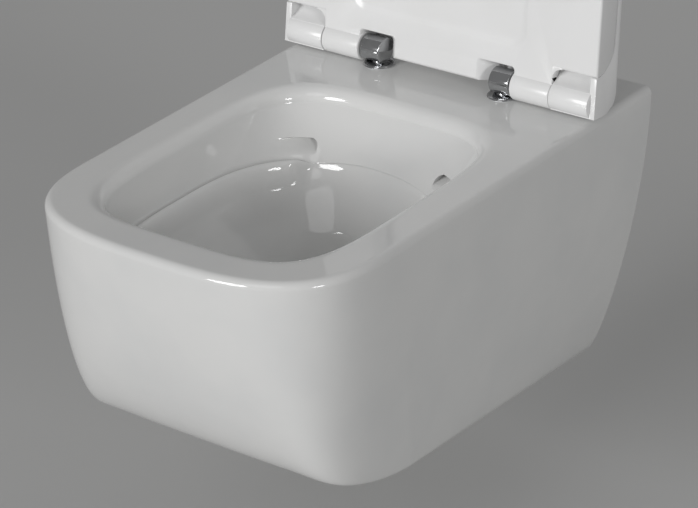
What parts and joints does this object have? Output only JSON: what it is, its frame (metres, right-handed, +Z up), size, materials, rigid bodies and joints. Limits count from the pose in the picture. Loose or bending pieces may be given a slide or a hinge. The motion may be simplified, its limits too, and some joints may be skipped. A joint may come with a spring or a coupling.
{
  "type": "wall hung toilet",
  "caption": "Square-fronted wall hung toilet in white glazed ceramic, with a raised soft-close seat and lid on two chrome hinges with round cover discs",
  "frame": {"origin": "on the wall face, midway between the two wall fixings", "axes": "+X to the right as seen from the front, +Y into the wall, +Z up"},
  "size_m": [0.3858, 0.5639, 0.8113],
  "materials": {
    "ceramic": "gloss white glaze",
    "seat": "gloss white moulding",
    "lid": "gloss white moulding",
    "hinge": "polished",
    "disc": "polished",
    "steel": "bright",
    "damper": "satin",
    "sleeve": "satin",
    "gasket": "matte",
    "buffer": "matte"
  },
  "bodies": {
    "pan": {"pan": "ceramic", "pan_fixing_wall": "ceramic", "pan_outlet_end": "ceramic", "fixing_sleeves": "sleeve", "inlet_seal": "gasket", "hinge_washers": "gasket", "hinge_disc_left": "disc", "hinge_disc_right": "disc", "hinge_knuckle_left": "hinge", "hinge_knuckle_right": "hinge", "hinge_studs": "steel", "hinge_pin_left": "steel", "hinge_pin_right": "steel", "hinge_plugs": "gasket", "hinge_nuts": "steel"},
    "seat": {"seat": "seat", "seat_damper_left": "damper", "seat_damper_right": "damper", "seat_buffer_front_left": "buffer", "seat_buffer_front_right": "buffer", "seat_buffer_rear_left": "buffer", "seat_buffer_rear_right": "buffer"},
    "lid": {"lid": "lid", "lid_bush_left": "damper", "lid_bush_right": "damper", "lid_buffer_left": "buffer", "lid_buffer_right": "buffer"}
  },
  "joints": [
    {"name": "seat_hinge", "type": "hinge", "parent": "pan", "child": "seat", "pos_m": [0, -0.098, 0.097], "axis": [-1, 0, 0], "range_deg": [-98.5, 0]},
    {"name": "lid_hinge", "type": "hinge", "parent": "seat", "child": "lid", "pos_m": [0, -0.098, 0.097], "axis": [-1, 0, 0], "range_deg": [0, 15]}
  ]
}
